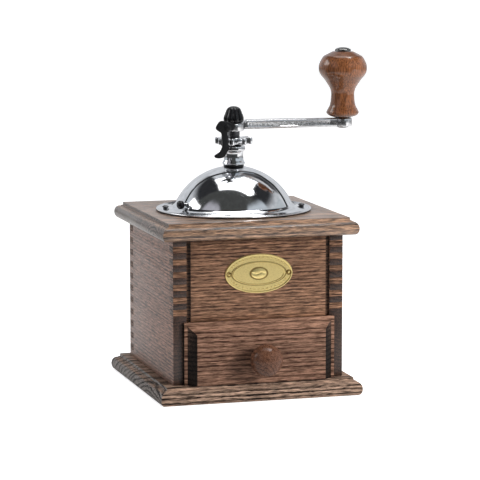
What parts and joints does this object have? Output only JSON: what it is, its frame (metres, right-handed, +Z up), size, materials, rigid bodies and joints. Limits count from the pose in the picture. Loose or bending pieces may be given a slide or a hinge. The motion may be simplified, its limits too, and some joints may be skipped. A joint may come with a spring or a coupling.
{
  "type": "manual coffee grinder",
  "caption": "Hand cranked box coffee grinder with a wooden case, a turning dome door over the bean hopper, conical burrs and a drawer for the grounds.",
  "frame": {"origin": "middle of the underside of the base board, below the axis of the shaft", "axes": "+Z up along the shaft, -Y to the drawer's side, +X towards the crank knob at rest"},
  "size_m": [0.1531, 0.1457, 0.2132],
  "materials": {
    "case_wood": "stained open-grained wood, satin",
    "moulding_wood": "stained open-grained wood, satin",
    "drawer_wood": "stained open-grained wood, satin",
    "inner_wood": "plain planed wood",
    "varnished_wood": "glossy varnish",
    "chrome": "polished",
    "steel": "bright steel",
    "iron": "cast, dark",
    "dark_steel": "blackened steel",
    "black": "satin black",
    "brass": "polished, embossed"
  },
  "bodies": {
    "case": {"base_board": "moulding_wood", "base_screw_1": "steel", "base_screw_2": "steel", "base_screw_3": "steel", "base_screw_4": "steel", "left_side_board": "case_wood", "right_side_board": "case_wood", "front_board": "case_wood", "back_board": "case_wood", "top_board": "moulding_wood", "name_plate": "brass", "plate_pin_left": "brass", "plate_pin_right": "brass", "hopper_bowl": "steel", "burr_housing": "iron", "housing_screw_1": "steel", "housing_screw_2": "steel", "housing_screw_3": "steel", "outer_burr": "iron", "bearing_bridge": "iron", "bridge_screw_left": "steel", "bridge_screw_right": "steel", "hopper_hood": "chrome", "hood_screw_left": "chrome", "hood_screw_right": "chrome", "neck_post": "chrome", "door_retaining_nut": "steel", "thrust_washer": "chrome"},
    "crank": {"crank_shaft": "dark_steel", "shaft_spring": "steel", "inner_burr": "iron", "burr_nut": "steel", "crank_arm": "chrome", "acorn_nut": "black", "catch_pin": "black", "knob_spindle": "steel"},
    "wheel": {"adjusting_wheel": "chrome"},
    "catch": {"catch_lever": "black"},
    "handle": {"crank_knob": "varnished_wood"},
    "door": {"dome_door": "chrome", "door_knob": "black"},
    "drawer": {"drawer_front": "drawer_wood", "drawer_left_side": "inner_wood", "drawer_right_side": "inner_wood", "drawer_back": "inner_wood", "drawer_bottom": "inner_wood", "drawer_knob": "drawer_wood", "drawer_knob_screw": "steel"}
  },
  "joints": [
    {"name": "crank_turn", "type": "hinge", "parent": "case", "child": "crank", "pos_m": [0, 0, 0.15], "axis": [0, 0, 1], "continuous": true},
    {"name": "knob_spin", "type": "hinge", "parent": "crank", "child": "handle", "pos_m": [0.0727, 0, 0.19], "axis": [0, 0, 1], "continuous": true},
    {"name": "wheel_turn", "type": "hinge", "parent": "crank", "child": "wheel", "pos_m": [0, 0, 0.1556], "axis": [0, 0, 1], "continuous": true},
    {"name": "catch_swing", "type": "hinge", "parent": "crank", "child": "catch", "pos_m": [-0.0075, -0.0122, 0.1647], "axis": [0, 1, 0], "range_deg": [-12, 30]},
    {"name": "door_turn", "type": "hinge", "parent": "case", "child": "door", "pos_m": [0, 0, 0.12], "axis": [0, 0, 1], "range_deg": [0, 115]},
    {"name": "drawer_slide", "type": "slide", "parent": "case", "child": "drawer", "axis": [0, -1, 0], "range_m": [0, 0.075]}
  ]
}
